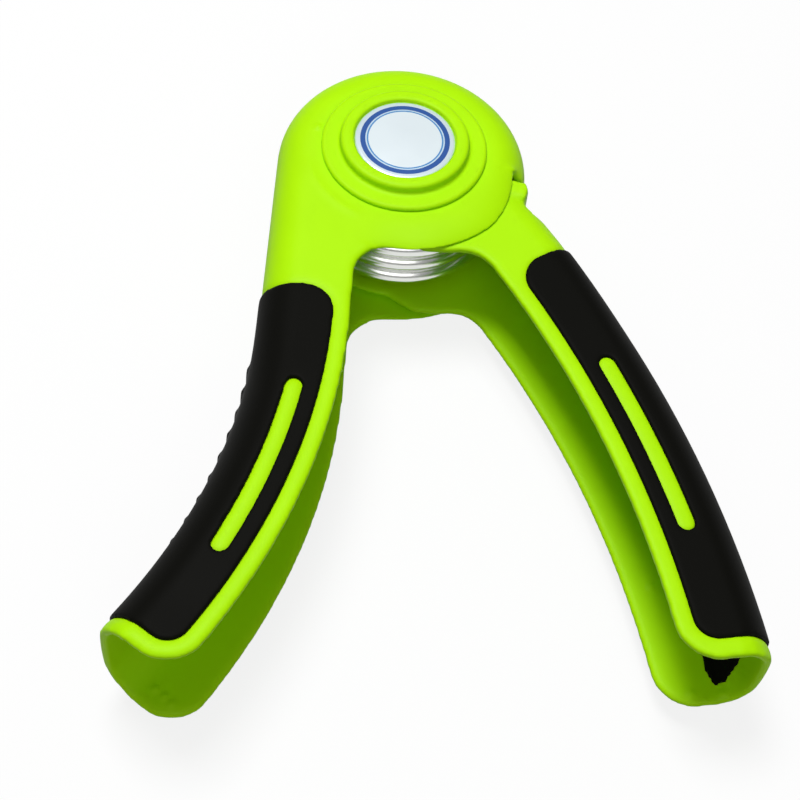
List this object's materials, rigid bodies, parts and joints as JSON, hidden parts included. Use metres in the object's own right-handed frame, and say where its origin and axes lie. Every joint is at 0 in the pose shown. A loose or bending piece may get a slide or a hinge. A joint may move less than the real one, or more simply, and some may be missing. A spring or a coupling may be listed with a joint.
{
  "type": "hand grip strengthener",
  "caption": "Hand grip strengthener with two bowed channel handles, soft grips and a torsion spring at a capped pivot.",
  "frame": {"origin": "on the pivot axis, at the flat face of the back cap", "axes": "+Z along the pivot axis and out of the front face, +Y towards the top of the head with the feet towards -Y, +X towards the right handle"},
  "size_m": [0.1148, 0.1362, 0.032],
  "materials": {
    "lime_plastic": "semi-gloss moulded nylon or ABS, fine moulded skin",
    "black_tpr": "satin soft-touch thermoplastic rubber",
    "spring_steel": "bright plated spring wire, drawn along its length",
    "spool_plastic": "matt moulded nylon",
    "zinc_steel": "zinc-plated, machined",
    "acetal": "natural acetal, satin",
    "badge_metal": "printed aluminium foil disc, satin"
  },
  "bodies": {
    "left_body": {"left_handle": "lime_plastic", "left_grip": "black_tpr", "torsion_spring": "spring_steel", "spring_spool": "spool_plastic", "pivot_sleeve": "zinc_steel", "pivot_bolt": "zinc_steel", "lock_nut": "zinc_steel", "front_washer": "zinc_steel", "back_washer": "zinc_steel", "front_cap": "lime_plastic", "back_cap": "lime_plastic", "front_badge": "badge_metal"},
    "right_body": {"right_handle": "lime_plastic", "right_grip": "black_tpr", "front_bush": "acetal", "back_bush": "acetal"}
  },
  "joints": [
    {"name": "squeeze", "type": "hinge", "parent": "left_body", "child": "right_body", "pos_m": [0, 0, 0.016], "axis": [0, 0, -1], "range_deg": [0, 38], "stiffness_Nm_per_rad": 2.6, "springref_deg": -34.38, "deforming": ["torsion_spring"]}
  ]
}
